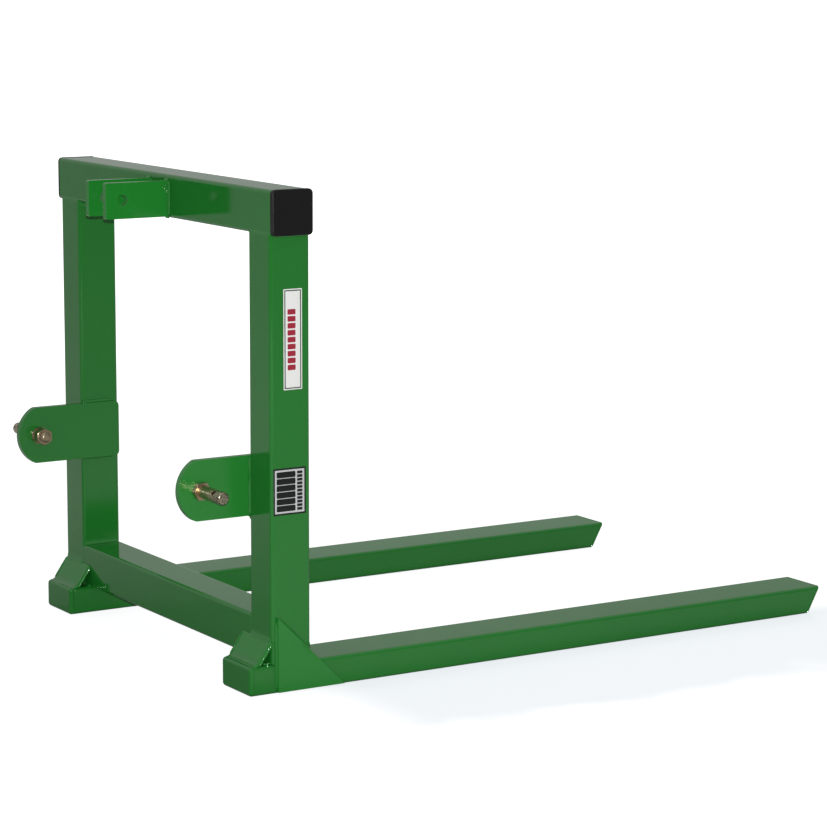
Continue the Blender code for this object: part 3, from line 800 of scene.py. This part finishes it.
def weld_frame_corners():
    """Uprights to the top and bottom cross tubes, and the frame's foot to the fork tops."""
    for side, name in SIDES:
        shape = bmesh.new()
        inwards = -X_AXIS * side
        joint = UPRIGHT_HIGH.z
        path = [
            at(side, INNER, FRONT + CORNER * 0.45, joint),
            at(side, INNER, REAR - CORNER * 0.45, joint),
        ]
        fillet(shape, path, inwards, -Z_AXIS, TOP_CORNER_FILLET, 61 + side)
        for y, facing, seed in ((FRONT, -Y_AXIS, 63), (REAR, Y_AXIS, 65)):
            z = joint + CORNER * 0.35
            path = [at(side, INNER + 1 * MM, y, z), at(side, OUTER - 1 * MM, y, z)]
            seam(shape, path, facing, Z_AXIS, FRAME_SEAM, seed + side)
        path = [
            at(side, OUTER, FRONT + CORNER * 0.7, joint),
            at(side, OUTER, REAR - CORNER * 0.7, joint),
        ]
        out, leg, seed = X_AXIS * side, UNDER_PLUG_BEAD, 67 + side
        bead(shape, path, out, -Z_AXIS, leg, seed, flat=0.32, ripple=0.10)
        finish_piece(name + "_top_corner_welds", shape, WELD_PAINT)

        shape = bmesh.new()
        top = CROSS_HIGH.z
        path = [
            at(side, INNER, FRONT + CORNER * 0.5, top),
            at(side, INNER, REAR - CORNER * 0.5, top),
        ]
        fillet(shape, path, inwards, Z_AXIS, BOTTOM_CORNER_FILLET, 71 + side)
        for y, facing, seed in ((FRONT, -Y_AXIS, 73), (REAR, Y_AXIS, 75)):
            x = INNER + CORNER * 0.35
            path = [
                at(side, x, y, CROSS_LOW.z + CORNER * 0.4),
                at(side, x, y, top - CORNER * 0.4),
            ]
            seam(shape, path, facing, X_AXIS, FRAME_SEAM, seed + side)
            path = [
                at(side, FORK_LOW.x + 2 * MM, y - facing.y * 1.5 * MM, FORK_HIGH.z),
                at(side, INNER + 2 * MM, y - facing.y * 1.5 * MM, FORK_HIGH.z),
            ]
            fillet(shape, path, facing, Z_AXIS, FORK_TOP_FILLET, seed + 4 + side)
        finish_piece(name + "_bottom_corner_welds", shape, WELD_PAINT)


def weld_feet():
    """Front braces, side gussets and the backs of the uprights, all to the forks."""
    heel_x = FORK_HIGH.x
    slope = (Vector((0.0, FRONT, BRACE_HIGH.z)) - Vector((0.0, BRACE_LOW.y, BRACE_LOW.z)))
    slope.normalize()
    outer_face = Vector((0.0, -slope.z, slope.y))
    for side, name in SIDES:
        outwards = X_AXIS * side
        shape = bmesh.new()
        foot = at(side, 0.0, BRACE_LOW.y, BRACE_LOW.z)
        rise = BRACE_HIGH.z - BRACE_LOW.z
        length = rise / slope.z
        for x, facing, seed in ((heel_x, outwards, 81), (FORK_LOW.x, -outwards, 83)):
            base = Vector((side * x, foot.y, foot.z)) - outer_face * 2.6 * MM - facing * 1.3 * MM
            path = [base + slope * 3 * MM, base + slope * (length - 2 * MM)]
            leg, seed = BRACE_BEAD, seed + side
            bead(shape, path, facing, outer_face, leg, seed, 0.34, COARSE, pitch=BRACE_PITCH)
        toe = [
            at(side, FORK_LOW.x + 1.5 * MM, BRACE_LOW.y, FORK_HIGH.z),
            at(side, heel_x - 1.5 * MM, BRACE_LOW.y, FORK_HIGH.z),
        ]
        fillet(shape, toe, -Y_AXIS, slope, BRACE_TOE_FILLET, 85 + side, BRACE_TOE_STRETCH)
        head = [
            at(side, INNER + CORNER * 0.4, FRONT, BRACE_HIGH.z),
            at(side, OUTER - CORNER * 0.4, FRONT, BRACE_HIGH.z),
        ]
        fillet(shape, head, Z_AXIS, -slope, BRACE_HEAD_FILLET, 87 + side)
        lumps = at(side, heel_x - 0.4 * MM, FRONT - 9 * MM, FORK_HIGH.z + 1 * MM)
        globs(shape, lumps, Y_AXIS, Z_AXIS, drop_facing(side), 8, 2.6 * MM, 89 + side)
        finish_piece(name + "_brace_welds", shape, WELD_PAINT)

        shape = bmesh.new()
        fall = Vector((0.0, 1.0, -1.0)).normalized()
        normal = Vector((0.0, 1.0, 1.0)).normalized()
        start = at(side, OUTER, GUSSET_LOW.y, GUSSET_HIGH.z)
        end = at(side, OUTER, GUSSET_HIGH.y, GUSSET_LOW.z)
        reach = (end - start).length
        path = [start + fall * 6 * MM, start + fall * reach * 0.44]
        bead(shape, path, outwards, normal, GUSSET_BEAD, 91 + side, ripple=0.12)
        thickness = outwards * (GUSSET_HIGH.x - OUTER)
        path = [start + fall * reach * 0.36, start + fall * reach * 0.505]
        bank(shape, path, thickness, normal, GUSSET_BANK_REACH, 93 + side)
        path = [
            at(side, OUTER, GUSSET_LOW.y, GUSSET_LOW.z + 4 * MM),
            at(side, OUTER, GUSSET_LOW.y, GUSSET_HIGH.z - 8 * MM),
        ]
        leg, seed = GUSSET_FRONT_BEAD, 95 + side
        bead(shape, path, outwards, -Y_AXIS, leg, seed, flat=0.40, run_out=3.0)
        finish_piece(name + "_gusset_welds", shape, WELD_PAINT)

        shape = bmesh.new()
        path = [
            at(side, INNER + CORNER * 0.6, REAR, FORK_HIGH.z),
            at(side, OUTER - CORNER * 0.6, REAR, FORK_HIGH.z),
        ]
        bead(shape, path, Y_AXIS, Z_AXIS, UPRIGHT_REAR_BEAD, 97 + side)
        finish_piece(name + "_upright_heel_weld", shape, WELD_PAINT)


weld_ears()
weld_lugs()
weld_frame_corners()
weld_feet()


# ---------------------------------------------------------------- stud threads

STUD_RADIUS = 0.375 * INCH
THREAD_PITCH = 2.54 * MM
THREAD_DEPTH = 0.55 * MM
THREAD_SINK = 0.3 * MM
THREAD_CREST = 0.1 * MM
THREAD_STEPS = 40


def stud_threads():
    """A helical ridge on the end of each stud that stands out of its nut."""
    centre_y = (PIN_LOW.y + PIN_HIGH.y) / 2
    centre_z = (PIN_LOW.z + PIN_HIGH.z) / 2
    for side, name in SIDES:
        shape = bmesh.new()
        start, end = NUT_LOW.x - 0.2 * MM, PIN_LOW.x + 3.0 * MM
        turns = (start - end) / THREAD_PITCH
        count = int(turns * THREAD_STEPS)
        rings = []
        for i in range(count + 1):
            share = i / count
            angle = 2 * math.pi * turns * share
            x = start + (end - start) * share
            fade = min(1.0, 6 * min(share, 1 - share) + 0.02)
            radial = Vector((0.0, math.cos(angle), math.sin(angle)))
            middle = Vector((side * x, centre_y, centre_z))
            root = middle + radial * (STUD_RADIUS - THREAD_SINK)
            crest = middle + radial * (STUD_RADIUS + THREAD_DEPTH * fade)
            half = X_AXIS * THREAD_PITCH * 0.42
            flank = X_AXIS * THREAD_CREST
            ring = (root + half, crest + flank, crest - flank, root - half)
            rings.append([shape.verts.new(point) for point in ring])
        for a, b in zip(rings, rings[1:]):
            for j in range(4):
                k = (j + 1) % 4
                shape.faces.new((a[j], a[k], b[k], b[j]))
        shape.faces.new(rings[0])
        shape.faces.new(list(reversed(rings[-1])))
        finish_piece(name + "_stud_thread", shape, ZINC)


stud_threads()


# ---------------------------------------------------------------- label prints


INK = 0.06 * MM
BORDER_CORNER = 0.2 * MM
ARC_POINTS = 5


def rounded_bar(shape, x, y0, y1, z0, z1, corner):
    """A thin bar on a face that looks along +X, with rounded corners."""
    outline = []
    corner = min(corner, (y1 - y0) / 2.01, (z1 - z0) / 2.01)
    for cy, cz, start in (
        (y1 - corner, z1 - corner, 0.0),
        (y0 + corner, z1 - corner, 90.0),
        (y0 + corner, z0 + corner, 180.0),
        (y1 - corner, z0 + corner, 270.0),
    ):
        for i in range(ARC_POINTS):
            angle = math.radians(start + 90.0 * i / (ARC_POINTS - 1))
            outline.append((cy + corner * math.cos(angle), cz + corner * math.sin(angle)))
    back = [shape.verts.new((x, y, z)) for y, z in outline]
    face = [shape.verts.new((x + INK, y, z)) for y, z in outline]
    shape.faces.new(face)
    shape.faces.new(list(reversed(back)))
    for i in range(len(outline)):
        j = (i + 1) % len(outline)
        shape.faces.new((back[i], back[j], face[j], face[i]))


def print_border(label, ink, inset, line):
    """Four thin bars that make a border on a label."""
    low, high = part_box(label)
    x = high.x
    y0, y1, z0, z1 = low.y + inset, high.y - inset, low.z + inset, high.z - inset
    shape = bmesh.new()
    rounded_bar(shape, x, y0, y0 + line, z0, z1, BORDER_CORNER)
    rounded_bar(shape, x, y1 - line, y1, z0, z1, BORDER_CORNER)
    rounded_bar(shape, x, y0 + line, y1 - line, z0, z0 + line, BORDER_CORNER)
    rounded_bar(shape, x, y0 + line, y1 - line, z1 - line, z1, BORDER_CORNER)
    finish_piece(label + "_border", shape, ink, smooth=False)


def print_blocks(label, kind, ink, across, along, count, gap, corner):
    """Equal blocks stacked up a label.

    The spans across (Y) and along (Z) are shares of the label; gap is a share of the pitch.
    """
    low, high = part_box(label)
    size = high - low
    y0, y1 = (low.y + size.y * share for share in across)
    z0, z1 = (low.z + size.z * share for share in along)
    pitch = (z1 - z0) / (count - gap)
    shape = bmesh.new()
    for i in range(count):
        z = z0 + i * pitch
        rounded_bar(shape, high.x, y0, y1, z, z + pitch * (1 - gap), corner)
    finish_piece(label + kind, shape, ink, smooth=False)


def label_prints():
    """Generic prints: plain red blocks above; black blocks beside a column of dashes below."""
    label, slot = "upper_label", "white_vinyl"
    print_border(label, BORDER_INK, 1.9 * MM, 1.9 * MM)
    print_blocks(label, "_blocks", RED_INK, (0.22, 0.65), (0.195, 0.80), 9, 0.22, 1.4 * MM)
    label, slot, ink = "lower_label", "grey_vinyl", BLACK_INK
    print_blocks(label, "_blocks", ink, (0.10, 0.68), (0.075, 0.925), 6, 0.11, 2.0 * MM)
    print_blocks(label, "_dashes", ink, (0.73, 0.895), (0.08, 0.92), 11, 0.25, 0.8 * MM)
    print_border(label, ink, 0.0, 2.9 * MM)


label_prints()


# ---------------------------------------------------------------- stage, light and camera


def build_floor():
    shape = bmesh.new()
    bmesh.ops.create_circle(shape, cap_ends=True, segments=64, radius=FLOOR_RADIUS)
    mesh = bpy.data.meshes.new("studio_floor")
    shape.to_mesh(mesh)
    shape.free()
    mesh.materials.append(floor_material())
    floor = bpy.data.objects.new("studio_floor", mesh)
    floor.location = (0.0, 0.0, -FLOOR_DROP)
    bpy.context.scene.collection.objects.link(floor)


def build_world():
    """A pale room, brighter on one side and overhead. The camera sees it as plain white."""
    world = bpy.data.worlds.new("studio_room")
    bpy.context.scene.world = world
    world.use_nodes = True
    g = Graph(world.node_tree)
    direction = g.add("ShaderNodeTexCoord").outputs["Generated"]
    height = g.add("ShaderNodeSeparateXYZ", Vector=direction).outputs["Z"]
    bright_side = g.add(
        "ShaderNodeVectorMath", {"operation": "DOT_PRODUCT"}, i0=direction, i1=BRIGHT_SIDE
    ).outputs["Value"]
    toward = g.math("ADD", g.math("MULTIPLY", bright_side, 0.5), 0.5)
    window = g.math("POWER", toward, BRIGHT_SIDE_FOCUS)
    ceiling = g.step(height, CEILING_FROM, CEILING_TO)
    room = g.math("ADD", ROOM_LIGHT, g.math("MULTIPLY", window, BRIGHT_SIDE_LIGHT))
    room = g.math("ADD", room, g.math("MULTIPLY", ceiling, CEILING_LIGHT))
    camera = g.add("ShaderNodeLightPath").outputs["Is Camera Ray"]
    strength = g.math("MAXIMUM", room, g.math("MULTIPLY", camera, BACKDROP_LIGHT))
    background = g.add("ShaderNodeBackground", Color=WHITE, Strength=strength)
    out = g.add("ShaderNodeOutputWorld")
    g.tree.links.new(background.outputs[0], out.inputs[0])


def disk_light(name, location, target, size, watts):
    data = bpy.data.lights.new(name, "AREA")
    data.shape = "DISK"
    data.size = size
    data.energy = watts
    obj = bpy.data.objects.new(name, data)
    obj.location = location
    obj.rotation_mode = "QUATERNION"
    obj.rotation_quaternion = (target - location).to_track_quat("-Z", "Y")
    obj.visible_camera = False
    bpy.context.scene.collection.objects.link(obj)
    return obj


def build_camera():
    """Places the camera; returns where it stands and its upward direction."""
    back = Vector(
        (
            math.sin(VIEW_AZIMUTH) * math.cos(VIEW_ELEVATION),
            -math.cos(VIEW_AZIMUTH) * math.cos(VIEW_ELEVATION),
            math.sin(VIEW_ELEVATION),
        )
    )
    right = Z_AXIS.cross(back).normalized()
    up = back.cross(right)
    c, s = math.cos(VIEW_ROLL), math.sin(VIEW_ROLL)
    right, up = right * c + up * s, up * c - right * s
    location = VIEW_TARGET + back * VIEW_DISTANCE
    data = bpy.data.cameras.new("camera")
    data.lens = LENS_MM
    data.sensor_width = SENSOR_MM
    camera = bpy.data.objects.new("camera", data)
    turn = Matrix((right, up, back)).transposed().to_4x4()
    camera.matrix_world = Matrix.Translation(location) @ turn
    bpy.context.scene.collection.objects.link(camera)
    bpy.context.scene.camera = camera
    return location, up


build_floor()
build_world()
lens_at, lens_up = build_camera()
flash_at = lens_at + lens_up * FLASH_ABOVE_LENS
middle = (CAD_BOX[0] + CAD_BOX[1]) / 2
disk_light("flash", flash_at, VIEW_TARGET, FLASH_SIZE, FLASH_WATTS)
softbox = disk_light("back_softbox", SOFTBOX_AT, middle, SOFTBOX_SIZE, SOFTBOX_WATTS)
softbox.visible_glossy = False
bpy.context.scene.view_settings.view_transform = "Standard"
